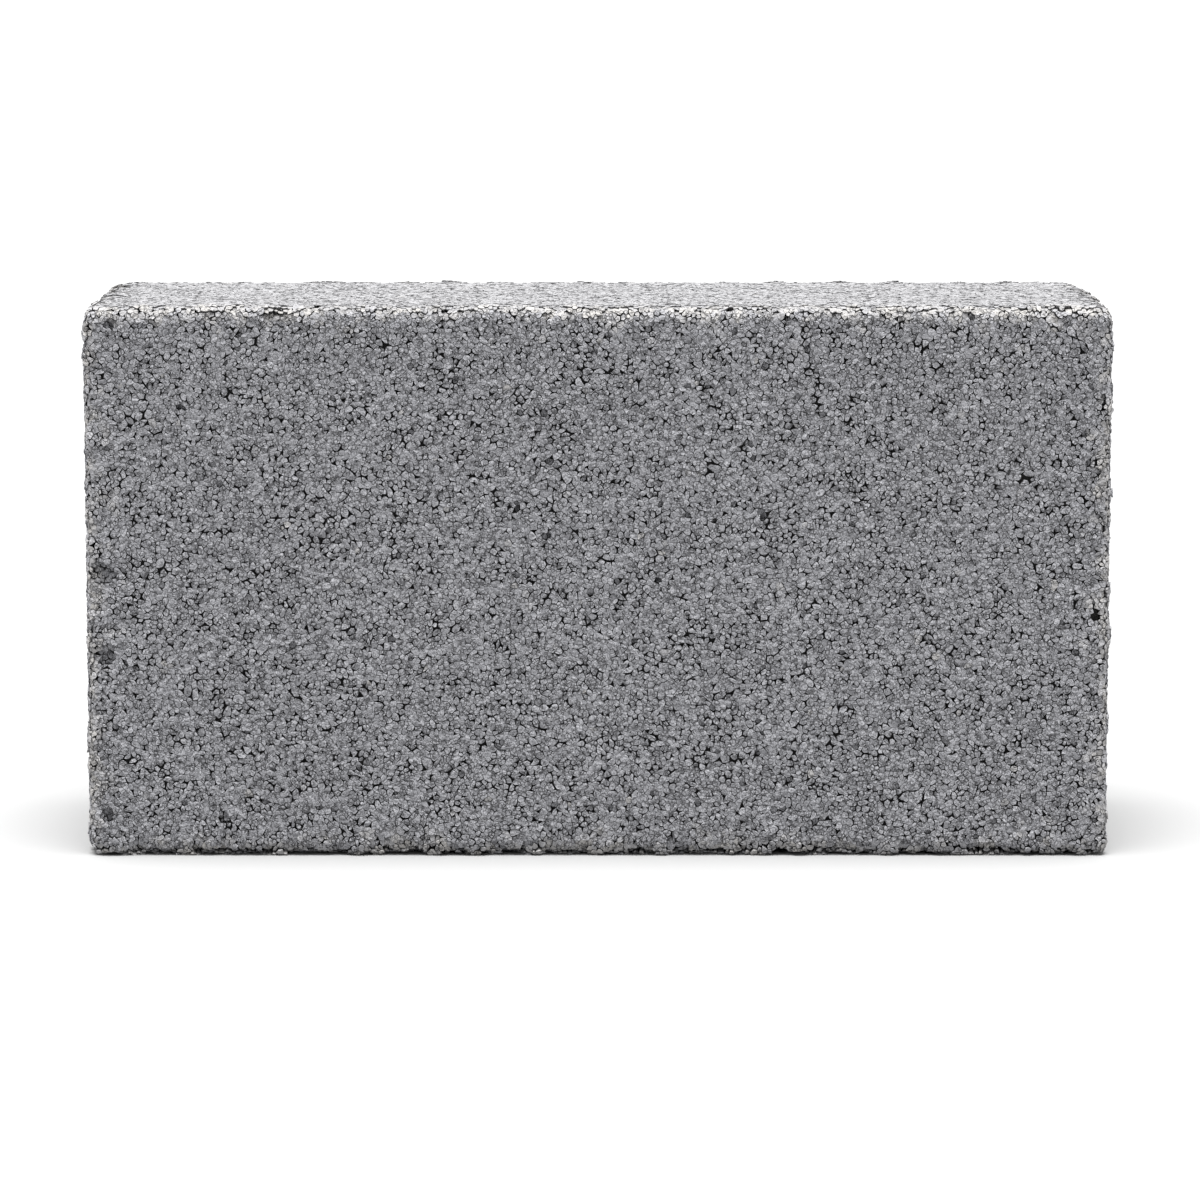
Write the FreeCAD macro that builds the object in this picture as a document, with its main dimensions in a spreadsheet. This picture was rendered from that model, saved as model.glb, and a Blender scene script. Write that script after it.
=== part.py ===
"""Rectangular concrete paving stone, standing on one of its long joint sides.

The stone is one piece of dry-pressed concrete. Its two large faces are the wear face, on -Y, and the
bed face, on +Y. Two long joint sides, at the bottom and the top as it stands, and two end sides join
them. All edges are rounded by the mould and by handling, the upright corners at the bed face most.

Units are millimetres. The origin is at the middle of the side that the stone stands on, with X along
its length, Y through its thickness and Z up.
"""

import FreeCAD
import Part
import Sketcher

import os

DRIVING_SIZES = [
    ("stone_length", 200.0, "end side to end side"),
    ("stone_width", 108.0, "long side to long side, upright as the stone stands"),
    ("stone_thickness", 70.0, "wear face to bed face"),
    ("bed_corner_radius", 8.0, "upright corners where the end sides meet the bed face"),
    ("side_arris_radius", 3.0, "edges of the long sides, along the ends and round the bed face"),
    ("wear_arris_radius", 2.5, "edges of the wear face, all the way round"),
]
SIZES_SHEET = "Sizes"
PARTS_FOLDER = "parts"
SAME_PLACE = 1e-6


def size_sheet(doc):
    """Spreadsheet of the driving dimensions, one row each: name, value and meaning."""
    sheet = doc.addObject("Spreadsheet::Sheet", SIZES_SHEET)
    for row, (alias, value, meaning) in enumerate(DRIVING_SIZES, start=1):
        sheet.set(f"A{row}", alias)
        sheet.set(f"B{row}", str(value))
        sheet.set(f"C{row}", meaning)
        sheet.setAlias(f"B{row}", alias)
    doc.recompute()
    return sheet


def from_sheet(alias):
    """Expression that binds a length to a cell of the sheet."""
    return f"{SIZES_SHEET}.{alias} * 1mm"


def origin_plane(body, role):
    """The body's own origin plane with this role."""
    return next(feature for feature in body.Origin.OriginFeatures if feature.Role == role)


def face_outline(body):
    """Sketch on the XZ plane: the rectangle of the large faces, with its foot centred on the origin."""
    sketch = body.newObject("Sketcher::SketchObject", "FaceOutline")
    sketch.AttachmentSupport = [(origin_plane(body, "XZ_Plane"), "")]
    sketch.MapMode = "FlatFace"
    corners = [FreeCAD.Vector(x, z, 0) for x, z in ((-1, 0), (1, 0), (1, 1), (-1, 1))]
    for start, end in zip(corners, corners[1:] + corners[:1]):
        sketch.addGeometry(Part.LineSegment(start, end), False)
    foot, right, top, left = range(4)
    start_point, end_point = 1, 2
    sketch_origin = (-1, 1)
    for side, following in ((foot, right), (right, top), (top, left), (left, foot)):
        sketch.addConstraint(Sketcher.Constraint("Coincident", side, end_point, following, start_point))
    for level_side in (foot, top):
        sketch.addConstraint(Sketcher.Constraint("Horizontal", level_side))
    for upright_side in (left, right):
        sketch.addConstraint(Sketcher.Constraint("Vertical", upright_side))
    sketch.addConstraint(
        Sketcher.Constraint("Symmetric", foot, start_point, foot, end_point, *sketch_origin)
    )
    length = sketch.addConstraint(
        Sketcher.Constraint("DistanceX", foot, start_point, foot, end_point, 2.0)
    )
    width = sketch.addConstraint(
        Sketcher.Constraint("DistanceY", right, start_point, right, end_point, 1.0)
    )
    sketch.renameConstraint(length, "length")
    sketch.renameConstraint(width, "width")
    sketch.setExpression("Constraints.length", from_sheet("stone_length"))
    sketch.setExpression("Constraints.width", from_sheet("stone_width"))
    return sketch


def pressed_block(doc, body):
    """The square-edged block: the outline through the thickness, half to each side of the XZ plane."""
    block = body.newObject("PartDesign::Pad", "PressedBlock")
    block.Profile = face_outline(body)
    block.Midplane = True
    block.setExpression("Length", from_sheet("stone_thickness"))
    doc.recompute()
    return block


def rounded(doc, base, name, is_chosen, radius_alias):
    """The base feature with a fillet on every edge whose bounding box is chosen."""
    edge_names = [
        f"Edge{number}"
        for number, edge in enumerate(base.Shape.Edges, start=1)
        if is_chosen(edge.BoundBox)
    ]
    fillet = base.getParentGeoFeatureGroup().newObject("PartDesign::Fillet", name)
    fillet.Base = (base, edge_names)
    fillet.setExpression("Radius", from_sheet(radius_alias))
    doc.recompute()
    return fillet


def paving_stone(doc, sheet):
    """The whole stone: the pressed block, then its rounded corners and arrises."""
    body = doc.addObject("PartDesign::Body", "PavingStone")
    body.Label = "paving_stone"
    bed_y = sheet.stone_thickness / 2
    wear_y = -bed_y
    top_z = sheet.stone_width

    def is_bed_upright(box):
        return abs(box.YMin - bed_y) < SAME_PLACE and box.ZLength > SAME_PLACE

    def is_long_side_edge(box):
        is_level = box.ZLength < SAME_PLACE
        is_at_a_long_side = min(abs(box.ZMin), abs(box.ZMax - top_z)) < SAME_PLACE
        is_on_wear_face = abs(box.YMax - wear_y) < SAME_PLACE
        return is_level and is_at_a_long_side and not is_on_wear_face

    def is_wear_face_edge(box):
        return abs(box.YMax - wear_y) < SAME_PLACE

    stone = pressed_block(doc, body)
    stone = rounded(doc, stone, "BedCorners", is_bed_upright, "bed_corner_radius")
    stone = rounded(doc, stone, "SideArrises", is_long_side_edge, "side_arris_radius")
    rounded(doc, stone, "WearArris", is_wear_face_edge, "wear_arris_radius")
    return body


def check(doc, pieces):
    """Stops the build if a feature has failed or a piece isn't one valid solid."""
    for thing in doc.Objects:
        if {"Invalid", "Error"} & set(thing.State):
            raise RuntimeError(f"{thing.Name} failed: {thing.State}")
        if thing.isDerivedFrom("Sketcher::SketchObject") and not thing.FullyConstrained:
            raise RuntimeError(f"{thing.Name} isn't fully constrained")
    for piece in pieces:
        shape = piece.Shape
        if shape.isNull() or not shape.isValid() or len(shape.Solids) != 1:
            raise RuntimeError(f"{piece.Label} isn't one valid solid")


def main():
    doc = FreeCAD.newDocument("PavingStone")
    sheet = size_sheet(doc)
    pieces = [paving_stone(doc, sheet)]
    doc.recompute()
    check(doc, pieces)
    os.makedirs(PARTS_FOLDER, exist_ok=True)
    for piece in pieces:
        piece.Shape.exportStep(os.path.join(PARTS_FOLDER, f"{piece.Label}.step"))
        box = piece.Shape.optimalBoundingBox()
        print(f"{piece.Label}: {box.XLength:.2f} x {box.YLength:.2f} x {box.ZLength:.2f} mm")


main()
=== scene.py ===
import math

import bmesh
import bpy
import numpy as np
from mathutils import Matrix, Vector, noise


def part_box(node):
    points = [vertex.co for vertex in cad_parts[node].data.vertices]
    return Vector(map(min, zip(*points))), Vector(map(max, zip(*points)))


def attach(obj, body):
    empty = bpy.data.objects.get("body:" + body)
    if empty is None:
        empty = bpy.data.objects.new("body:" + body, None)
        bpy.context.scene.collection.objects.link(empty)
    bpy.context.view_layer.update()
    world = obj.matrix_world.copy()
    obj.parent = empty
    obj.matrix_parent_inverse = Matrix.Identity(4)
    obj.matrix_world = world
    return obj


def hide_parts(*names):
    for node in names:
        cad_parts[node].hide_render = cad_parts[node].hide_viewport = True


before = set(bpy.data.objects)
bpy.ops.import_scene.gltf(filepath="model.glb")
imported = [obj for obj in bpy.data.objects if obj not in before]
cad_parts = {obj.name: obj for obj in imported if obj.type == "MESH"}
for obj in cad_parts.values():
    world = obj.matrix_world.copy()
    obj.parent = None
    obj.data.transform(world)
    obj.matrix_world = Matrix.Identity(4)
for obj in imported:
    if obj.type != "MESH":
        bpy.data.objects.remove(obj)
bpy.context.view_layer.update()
low, high = (np.array(corner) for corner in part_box("paving_stone"))
stone_middle = (low + high) / 2


# The camera: a long lens a metre in front of the wear face and a little above
# the stone, looking slightly down on it.
camera_distance, camera_height, camera_offset = 0.985, 0.1823, 0.00045
look_down = 0.1328
lens = bpy.data.cameras.new("long_lens")
lens.sensor_width, lens.lens = 36, 152.8
camera = bpy.data.objects.new("camera", lens)
camera.location = (camera_offset, low[1] - camera_distance, camera_height)
camera.rotation_euler = (math.pi / 2 - look_down, 0, 0)
bpy.context.scene.collection.objects.link(camera)
bpy.context.scene.camera = camera
bpy.context.scene.view_settings.view_transform = "Standard"


# The studio: a white floor that runs out of sight on every side, under one
# broad soft lamp overhead and an even white room.
class Socket:
    """One output of a node. Sums written with it add Math nodes."""

    def __init__(self, tree, output):
        self.tree, self.output = tree, output

    def node(self, kind, settings, values, take=0):
        """Adds a node: its settings first, then the values or links of its sockets."""
        made = self.tree.nodes.new(kind)
        for name, setting in settings.items():
            setattr(made, name, setting)
        for name, value in values.items():
            if isinstance(value, Socket):
                self.tree.links.new(value.output, made.inputs[name])
            else:
                made.inputs[name].default_value = value
        return Socket(self.tree, made.outputs[take])

    def math(self, operation, *values):
        return self.node("ShaderNodeMath", {"operation": operation}, dict(enumerate(values)))

    def __add__(self, other):
        return self.math("ADD", self, other)

    def __radd__(self, other):
        return self.math("ADD", other, self)

    def __sub__(self, other):
        return self.math("SUBTRACT", self, other)

    def __rsub__(self, other):
        return self.math("SUBTRACT", other, self)

    def __mul__(self, other):
        return self.math("MULTIPLY", self, other)

    def __rmul__(self, other):
        return self.math("MULTIPLY", other, self)

    def smooth(self, start, end):
        """0 below start, 1 above end, eased between."""
        return self.node("ShaderNodeMapRange", {"interpolation_type": "SMOOTHSTEP"},
                         {"Value": self, "From Min": start, "From Max": end})

    def blend(self, first, second):
        """The first colour where this value is 0, the second where it is 1."""
        return self.node("ShaderNodeMix", {"data_type": "RGBA"}, {0: self, 6: first, 7: second}, 2)


def new_finish(name, roughness):
    """A material with one Principled shader, and its Object coordinates to start from."""
    material = bpy.data.materials.new(name)
    material.use_nodes = True
    tree = material.node_tree
    shader = tree.nodes["Principled BSDF"]
    shader.inputs["Roughness"].default_value = roughness
    place = Socket(tree, tree.nodes.new("ShaderNodeTexCoord").outputs["Object"])
    return material, shader, place


def feed(shader, name, value):
    value.tree.links.new(value.output, shader.inputs[name])


floor_reach = 30.0
shape = bmesh.new()
bmesh.ops.create_grid(shape, x_segments=8, y_segments=8, size=floor_reach)
floor_mesh = bpy.data.meshes.new("studio_floor")
shape.to_mesh(floor_mesh)
shape.free()
studio_floor = bpy.data.objects.new("studio_floor", floor_mesh)
bpy.context.scene.collection.objects.link(studio_floor)
floor_paint, shader, place = new_finish("white_floor_paint", 0.7)
shader.inputs["Specular IOR Level"].default_value = 0.1
paint_tone = place.node("ShaderNodeTexNoise", {}, {"Vector": place, "Scale": 3.0})
thin_paint, thick_paint = (0.268, 0.268, 0.268, 1), (0.276, 0.276, 0.276, 1)
feed(shader, "Base Color", paint_tone.blend(thin_paint, thick_paint))
floor_mesh.materials.append(floor_paint)

room = bpy.data.worlds.new("white_room")
room.use_nodes = True
walls = room.node_tree.nodes["Background"]
walls.inputs["Color"].default_value = (1, 1, 1, 1)
walls.inputs["Strength"].default_value = 0.9
bpy.context.scene.world = room

overhead = bpy.data.lights.new("overhead_lamp", "SUN")
overhead.energy = 11.0
overhead.angle = math.radians(45)
overhead_lamp = bpy.data.objects.new("overhead_lamp", overhead)
overhead_lamp.rotation_euler = (math.radians(7), math.radians(-1), 0)
bpy.context.scene.collection.objects.link(overhead_lamp)


# The cement body: the stone's own pressed shape, standing a little inside its
# finished faces. It shows dark at the bottom of the pores between the grains.
chance = np.random.default_rng(463)


def even_skin(spacing, name):
    """The stone's closed skin again, in even squares of about that spacing."""
    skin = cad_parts["paving_stone"].data.copy()
    shape = bmesh.new()
    shape.from_mesh(skin)
    bmesh.ops.remove_doubles(shape, verts=shape.verts, dist=1e-5)
    bmesh.ops.recalc_face_normals(shape, faces=shape.faces)
    shape.to_mesh(skin)
    shape.free()
    start = bpy.data.objects.new(name, skin)
    bpy.context.scene.collection.objects.link(start)
    remesh = start.modifiers.new("even", "REMESH")
    remesh.mode = "VOXEL"
    remesh.voxel_size = spacing
    return start


def finished_mesh(made, name):
    """The object's mesh with its modifiers applied; the object itself is removed."""
    bpy.context.view_layer.update()
    settled = bpy.data.meshes.new_from_object(
        made.evaluated_get(bpy.context.evaluated_depsgraph_get()))
    settled.name = name
    settled.materials.clear()
    bpy.data.objects.remove(made)
    return settled


def vertex_places(mesh):
    places = np.empty(len(mesh.vertices) * 3)
    mesh.vertices.foreach_get("co", places)
    return places.reshape(-1, 3)


def vertex_normals(mesh):
    normals = np.empty(len(mesh.vertices) * 3)
    mesh.vertex_normals.foreach_get("vector", normals)
    return normals.reshape(-1, 3)


body_spacing, body_depth, deepest_hollow = 0.0030, 0.00165, 0.0003
body_mesh = finished_mesh(even_skin(body_spacing, "cement_body"), "cement_body")
places, normals = vertex_places(body_mesh), vertex_normals(body_mesh)
hollows = chance.uniform(0.0, deepest_hollow, len(places))
places -= normals * (body_depth + hollows)[:, None]
body_mesh.vertices.foreach_set("co", places.ravel())
body_mesh.update()
cement_body = bpy.data.objects.new("cement_body", body_mesh)
bpy.context.scene.collection.objects.link(cement_body)

cement, shader, place = new_finish("shaded_cement", 0.95)
patch = place.node("ShaderNodeTexNoise", {}, {"Vector": place, "Scale": 900.0, "Detail": 3.0})
shaded, less_shaded = (0.02, 0.02, 0.02, 1), (0.06, 0.058, 0.058, 1)
feed(shader, "Base Color", patch.blend(shaded, less_shaded))
bump = place.node("ShaderNodeBump", {}, {"Height": patch, "Distance": 0.0004, "Strength": 0.8})
feed(shader, "Normal", bump)
body_mesh.materials.append(cement)
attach(cement_body, "root")
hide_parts("paving_stone")


# The grains: crushed stone and sand, mostly about 1 mm across, packed tight
# when the block was pressed, each with its own low crown, lean and tone.
grain_spacing = 0.00100
most_wander = 0.44  # of the spacing
share_left_out = 0.10
shortest_edge = 0.00042

seed_mesh = finished_mesh(even_skin(grain_spacing, "grain_seeds"), "grain_seeds")
places, normals = vertex_places(seed_mesh), vertex_normals(seed_mesh)
wander = chance.uniform(-most_wander, most_wander, places.shape) * grain_spacing
wander -= normals * (wander * normals).sum(1)[:, None]
seed_mesh.vertices.foreach_set("co", (places + wander).ravel())
shape = bmesh.new()
shape.from_mesh(seed_mesh)
shape.verts.ensure_lookup_table()
left_out = np.flatnonzero(chance.random(len(places)) < share_left_out)
bmesh.ops.dissolve_verts(shape, verts=[shape.verts[i] for i in left_out])
bmesh.ops.triangulate(shape, faces=shape.faces, quad_method="BEAUTY", ngon_method="BEAUTY")
bmesh.ops.beautify_fill(shape, faces=shape.faces, edges=shape.edges, method="ANGLE")
bmesh.ops.recalc_face_normals(shape, faces=shape.faces)
shape.to_mesh(seed_mesh)
shape.free()

# the outlines of the grains are where the ground of one seed meets the next
packing = bpy.data.node_groups.new("grain_packing", "GeometryNodeTree")
packing.interface.new_socket("Geometry", in_out="INPUT", socket_type="NodeSocketGeometry")
packing.interface.new_socket("Geometry", in_out="OUTPUT", socket_type="NodeSocketGeometry")
meeting = packing.nodes.new("GeometryNodeDualMesh")
packing.links.new(packing.nodes.new("NodeGroupInput").outputs[0], meeting.inputs["Mesh"])
packing.links.new(meeting.outputs[0], packing.nodes.new("NodeGroupOutput").inputs[0])
seeds = bpy.data.objects.new("grain_outlines", seed_mesh)
bpy.context.scene.collection.objects.link(seeds)
seeds.modifiers.new("packing", "NODES").node_group = packing
outline_mesh = finished_mesh(seeds, "grain_outlines")
shape = bmesh.new()
shape.from_mesh(outline_mesh)
bmesh.ops.remove_doubles(shape, verts=shape.verts, dist=shortest_edge)
shape.to_mesh(outline_mesh)
shape.free()


def outline_values(name, size):
    """One value, or a row of them, for each outline of the packing."""
    values = np.empty(len(outline_mesh.polygons) * size)
    outline_mesh.polygons.foreach_get(name, values)
    return values.reshape(-1, size) if size > 1 else values


def arris_nearness(places, reach):
    """1 on an arris of the block, fading out over about three times that reach."""
    inwards = np.sort(np.concatenate([places - low, high - places], 1), 1)
    return np.exp(-np.maximum(inwards[:, 1], 0) / reach)


def waves(places, length, seed):
    """Smooth ups and downs of about that length, between -1 and 1."""
    return np.array([noise.noise(Vector(place / length) + Vector((seed, 0, 0)))
                     for place in places])


# each outline faces out of the block, whichever way round it was drawn
middles, facing = outline_values("center", 3), outline_values("normal", 3)
areas = outline_values("area", 1)
outline_count = len(areas)
half = (high - low) / 2
facing *= np.sign((facing * ((middles - stone_middle) / half) ** 9).sum(1))[:, None]

# how far each grain stands out: almost even on the faces, in lumps with
# creases between them on the arrises, broken away in places along the foot
near_arris = arris_nearness(middles, 0.0020)
at_foot = np.exp(-middles[:, 2] / 0.0025)
upward = np.clip(facing[:, 2], 0, 1) ** 2
flatter = 1 - 0.7 * upward
stand = chance.normal(0, 0.00006, outline_count) + waves(middles, 0.011, 3) * 0.00006
stand *= flatter
lumps = np.abs(waves(middles, 0.0050, 11)) * 2.4 - 0.55
lump_height = 0.0012 + 0.0028 * at_foot
stand += near_arris * (chance.normal(-0.00008, 0.00020, outline_count) + lumps * lump_height)
broken_foot = np.clip(waves(middles, 0.0065, 47) + 0.1, 0, 1) * 0.0026
stand -= at_foot * np.sqrt(near_arris) * broken_foot
deepest_stand, highest_stand = -0.0016, 0.0006
stand = np.clip(stand, deepest_stand, highest_stand)
# painted shade: the creases between the lumps are coloured darker through the grains' tone, which
# otherwise differs at random
creases = np.clip(-(lumps + 0.15) * 3, 0, 1) * near_arris
tone_and_painted_shade = chance.normal(0, 1, outline_count) - creases * 8

# the larger pits of the wear face: across, up, and how wide
pits = {
    "left_arris_upper": (-0.0963, 0.0559, 0.0021), "left_arris_lower": (-0.0963, 0.0394, 0.0019),
    "left_foot": (-0.0960, 0.0082, 0.0012), "left_foot_inner": (-0.0737, 0.0076, 0.0008),
    "top_arris_notch": (-0.0620, 0.1062, 0.0024), "top_left_corner": (-0.0944, 0.1046, 0.0009),
    "upper_left": (-0.0810, 0.0883, 0.0008), "middle_left": (-0.0156, 0.0690, 0.0007),
    "middle": (-0.0097, 0.0636, 0.0008), "middle_right": (0.0228, 0.0664, 0.0007),
    "right": (0.0318, 0.0674, 0.0008), "middle_low": (0.0120, 0.0548, 0.0008),
}
for pit_x, pit_z, pit_size in pits.values():
    away = np.linalg.norm(middles - np.array([pit_x, low[1], pit_z]), axis=1) / pit_size
    sinking = np.clip(1.25 - away, 0, 0.6)
    stand -= sinking * 0.0022
    # painted shade: the sunken pit grains are also coloured darker through their tone
    tone_and_painted_shade -= sinking * 11

crown = chance.uniform(0.03, 0.11, outline_count) * np.sqrt(areas) * flatter
lean = chance.normal(0, 0.09, (outline_count, 3)) * flatter[:, None]
lean -= facing * (lean * facing).sum(1)[:, None]

# the worn arrises are dusted paler and warmer. Their paleness also holds painted light: most of
# all on the two ends, where the arrises facing sideways are painted lighter, while what faces up
# is painted darker, painted shade on the lamp-lit top
worn = arris_nearness(middles, 0.0034) * 1.5 - 0.30 + waves(middles, 0.0030, 71) * 0.8
worn = np.clip(worn, 0, 1)
few_warm_grains = chance.random(outline_count) ** 150 * 0.6
warmth = np.maximum(few_warm_grains, worn * chance.uniform(0.45, 1.0, outline_count))
# painted shade: what faces up is coloured darker, and its worn arrises less pale
dust_and_painted_light = worn * np.clip(1 - 1.7 * upward, 0, 1) - 0.2 * upward
# painted light: near the arrises, what faces the two ends is coloured lighter
dust_and_painted_light += arris_nearness(middles, 0.0026) * np.abs(facing[:, 0]) * 2.2
# paler along the foot; painted shade makes the worn arrises that face up darker still
dust_and_painted_light += at_foot * near_arris * 0.4 - worn * upward * 0.35

# some small grains sit deeper, and pores open where outlines meet
small_grain = 2.0e-6
deep = (chance.random(outline_count) < 0.012 + 0.03 * near_arris) & (areas < small_grain)
stand -= deep * chance.uniform(0.0003, 0.0008, outline_count)
junctions = vertex_places(outline_mesh)
open_ground = np.clip(0.5 + waves(junctions, 0.004, 29) * 1.2, 0, 1)
pores = 0.005 + chance.random(len(junctions)) ** 3.3 * (0.22 + 0.22 * open_ground)
pores *= np.where(junctions[:, 2] > high[2] - 0.0004, 0.55, 1.0)

grain_finish, shader, place = new_finish("pressed_grain", 0.9)
shader.inputs["Specular IOR Level"].default_value = 0.3


def own(name):
    """The value that each grain carries under that name."""
    return place.node("ShaderNodeAttribute", {"attribute_name": name}, {}, "Fac")


cloud = place.node("ShaderNodeTexNoise", {}, {"Vector": place, "Scale": 45.0, "Detail": 4.0})
speckle = place.node("ShaderNodeTexNoise", {}, {"Vector": place, "Scale": 1700.0, "Detail": 2.0,
                                                "Roughness": 0.6})
grit = place.node("ShaderNodeTexNoise", {}, {"Vector": place, "Scale": 4200.0, "Detail": 1.0})
crumbs = place.node("ShaderNodeTexVoronoi", {"feature": "F1"}, {"Vector": place, "Scale": 1500.0})
# a painted highlight on each grain's rim, lightening the speckle there
painted_rim_highlight = own("rim").smooth(0.35, 1.0)
# painted shade down each grain's walls towards its root, in the crevices between the grains
painted_root_shade = own("under").smooth(0.0, 0.25)
lying_up = own("upward")
vivid = 1 - lying_up * 0.6
# painted shade: the hollows between the crumbs are coloured darker
shade = (0.58 + own("tone_and_painted_shade") * 0.035 + (cloud - 0.5) * 0.12 + own("dust_and_painted_light") * 0.30
         + (speckle - 0.5 + (grit - 0.5) * 1.8) * vivid
         + painted_rim_highlight * speckle * 0.30 - crumbs * 0.12)
dark_grey, light_grey = (0.083, 0.0835, 0.0915, 1), (0.33, 0.331, 0.348, 1)
beige_dust, dust_and_painted_shade = (0.355, 0.340, 0.316, 1), (0.245, 0.240, 0.232, 1)
# painted shade colours: for the fine seams, and for the crevices down to the grain roots
seam_shade_colour, root_shade_colour = (0.035, 0.034, 0.036, 1), (0.025, 0.024, 0.025, 1)
colour = shade.blend(dark_grey, light_grey)
colour = (own("warmth").smooth(0.10, 0.90) * 0.65).blend(colour, beige_dust)
# the upper side is blended to a flatter warm grey: dust, and painted shade that keeps the lamp-lit
# top darker
colour = (lying_up * 0.35).blend(colour, dust_and_painted_shade)
bits = place.node("ShaderNodeTexVoronoi", {"feature": "DISTANCE_TO_EDGE"},
                  {"Vector": place, "Scale": 1350.0})
broken = place.node("ShaderNodeTexNoise", {}, {"Vector": place, "Scale": 850.0, "Detail": 1.0})
seam = (1 - bits.smooth(0.02, 0.16)) * broken.smooth(0.47, 0.56)
# painted shade: the fine seams are coloured dark
colour = (seam * vivid * 0.70).blend(colour, seam_shade_colour)
# painted shade in the crevices between the grains, darkest at the roots
colour = (painted_root_shade * 0.85).blend(colour, root_shade_colour)
feed(shader, "Base Color", colour)
relief = speckle * 0.8 + grit * 0.5 - crumbs * 0.7 - seam * 0.8
bump = place.node("ShaderNodeBump", {}, {"Height": relief, "Distance": 0.00035, "Strength": 0.9})
feed(shader, "Normal", bump)

root_ring, rim_ring, crown_ring = 0, 1, 2
root_depth = 0.0020
rim_roughness = 0.00003


def grain_bodies(chosen):
    """A closed grain on each chosen outline: its rim, a crown above and a root below.

    Also gives each vertex's outline, corner of the outlines, and ring.
    """
    shape = bmesh.new()
    shape.from_mesh(outline_mesh)
    outline = shape.faces.layers.int.new("outline")
    corner = shape.verts.layers.int.new("corner")
    owner = shape.verts.layers.int.new("owner")
    ring = shape.verts.layers.int.new("ring")
    for i, face in enumerate(shape.faces):
        face[outline] = i
    for i, vert in enumerate(shape.verts):
        vert[corner] = i
    others = [face for face in shape.faces if not chosen[face[outline]]]
    bmesh.ops.delete(shape, geom=others, context="FACES")
    bmesh.ops.split_edges(shape, edges=shape.edges)
    for face in shape.faces:
        for vert in face.verts:
            vert[owner] = face[outline]
            vert[ring] = rim_ring
    for edge in shape.edges:
        edge.smooth = False
    tops = shape.faces[:]
    copied = bmesh.ops.duplicate(shape, geom=tops)
    roots = [part for part in copied["geom"] if isinstance(part, bmesh.types.BMFace)]
    same_place = {part: copied["vert_map"][part] for part in copied["geom"]
                  if isinstance(part, bmesh.types.BMVert)}
    for faces, level in ((tops, crown_ring), (roots, root_ring)):
        for vert in bmesh.ops.poke(shape, faces=faces)["verts"]:
            vert[ring] = level
            vert[owner] = vert.link_faces[0][outline]
    bmesh.ops.weld_verts(shape, targetmap=same_place)
    return shape, *(np.array([vert[layer] for vert in shape.verts])
                    for layer in (owner, corner, ring))


def grain_places(places, owners, corners, rings):
    """Where each vertex goes: rims drawn in round the pores, grains at their own stand."""
    reach = places - middles[owners]
    squeeze = np.choose(rings, [0.99, 0.982 - pores[corners], 1.0])
    rise = np.where(rings == root_ring, -root_depth, 0.0)
    rise += np.where(rings == crown_ring, crown[owners], 0.0)
    above_root = rings > root_ring
    rise += np.where(above_root, stand[owners] + (lean[owners] * reach).sum(1), 0)
    rise += np.where(above_root, chance.normal(0, rim_roughness, len(places)), 0)
    moved = middles[owners] + reach * squeeze[:, None] + facing[owners] * rise[:, None]
    moved[:, 2] = np.maximum(moved[:, 2], 0.0)
    return moved


def lay_chart(shape, rings, across, up):
    """A flat map of the side as it lies, with the hidden undersides in a strip of their own."""
    places = np.array([vert.co for vert in shape.verts])
    start = places.min(0)
    span = max(np.ptp(places[:, across]), np.ptp(places[:, up]))
    chart = shape.loops.layers.uv.new("OFBake")
    shape.verts.index_update()
    for face in shape.faces:
        hidden = any(rings[vert.index] == root_ring for vert in face.verts)
        for loop in face.loops:
            u = (loop.vert.co[across] - start[across]) / span * 0.9 + 0.01
            v = (loop.vert.co[up] - start[up]) / span * 0.9 + 0.01
            loop[chart].uv = (u, 0.95 + v * 0.04) if hidden else (u, v)


# one piece for each side of the block, two for each of its large faces, with
# the directions in which its map runs across and up
x, y, z = 0, 1, 2
facing_axis = np.argmax(np.abs(facing), 1)
positive = facing[np.arange(outline_count), facing_axis] > 0
left_half = middles[:, x] < stone_middle[x]
wear_face = (facing_axis == y) & ~positive
bed_face = (facing_axis == y) & positive
regions = {
    "left_end_grains": ((facing_axis == x) & ~positive, y, z),
    "right_end_grains": ((facing_axis == x) & positive, y, z),
    "wear_face_left_grains": (wear_face & left_half, x, z),
    "wear_face_right_grains": (wear_face & ~left_half, x, z),
    "bed_face_left_grains": (bed_face & left_half, x, z),
    "bed_face_right_grains": (bed_face & ~left_half, x, z),
    "resting_side_grains": ((facing_axis == z) & ~positive, x, y),
    "upper_side_grains": ((facing_axis == z) & positive, x, y),
}
for name, (chosen, across, up) in regions.items():
    shape, owners, corners, rings = grain_bodies(chosen)
    places = grain_places(np.array([vert.co for vert in shape.verts]), owners, corners, rings)
    for vert, new_place in zip(shape.verts, places):
        vert.co = new_place
    bmesh.ops.recalc_face_normals(shape, faces=shape.faces)
    for face in shape.faces:
        face.smooth = True
    lay_chart(shape, rings, across, up)
    grains = bpy.data.meshes.new(name)
    shape.to_mesh(grains)
    shape.free()
    for spare in ("outline", "corner", "owner", "ring"):
        grains.attributes.remove(grains.attributes[spare])
    for word, values in (("tone_and_painted_shade", tone_and_painted_shade[owners]), ("warmth", warmth[owners]),
                         ("dust_and_painted_light", dust_and_painted_light[owners]), ("upward", upward[owners]),
                         ("rim", (rings == rim_ring).astype(float)),
                         ("under", (rings == root_ring).astype(float))):
        grains.attributes.new(word, "FLOAT", "POINT").data.foreach_set("value", values)
    grains.materials.append(grain_finish)
    piece = bpy.data.objects.new(name, grains)
    bpy.context.scene.collection.objects.link(piece)
    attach(piece, "root")
